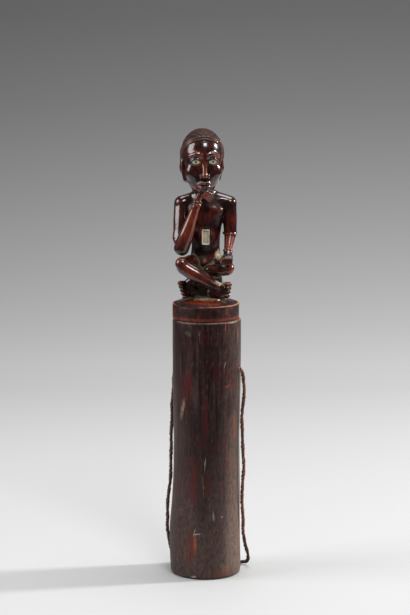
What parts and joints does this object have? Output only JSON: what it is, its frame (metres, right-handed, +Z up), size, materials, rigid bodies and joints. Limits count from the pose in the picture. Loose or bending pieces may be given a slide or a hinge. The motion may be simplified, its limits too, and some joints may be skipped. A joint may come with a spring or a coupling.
{
  "type": "lidded medicine box",
  "caption": "Tall cylindrical wooden medicine box with a stopper lid that carries a seated carved figure, and a twisted fibre carrying cord.",
  "frame": {"origin": "centre of the box's base, on the surface that it stands on", "axes": "+Z up along the cylinder, the figure faces -Y, the figure's left hand is at +X"},
  "size_m": [0.0766, 0.0698, 0.3989],
  "materials": {
    "box_wood": "dark brown hardwood, satin from handling, with grain, scars and worn red patches",
    "figure_wood": "dark red hardwood, oiled and polished glossy by long handling, with pale dust in the hollows",
    "eye_clay": "white kaolin clay with a painted dark pupil",
    "eye_glass": "thin clear glass",
    "belly_collar": "cream bone, worn smooth, with dirt in its corners",
    "belly_glass": "old clouded glass",
    "belly_charge": "hardened resin and earth",
    "cord": "three-ply twisted plant fibre, dark red-brown"
  },
  "bodies": {
    "container": {"box_body": "box_wood", "carrying_cord": "cord", "cord_knot_left": "cord", "cord_knot_right": "cord"},
    "lid": {"lid_figure": "figure_wood", "eye_bed_right": "eye_clay", "eye_bed_left": "eye_clay", "eye_glass_right": "eye_glass", "eye_glass_left": "eye_glass", "belly_collar": "belly_collar", "belly_glass": "belly_glass", "belly_charge": "belly_charge"}
  },
  "joints": [
    {"name": "lid_lift", "type": "slide", "parent": "container", "child": "lid", "axis": [0, 0, 1], "range_m": [0, 0.04]}
  ]
}
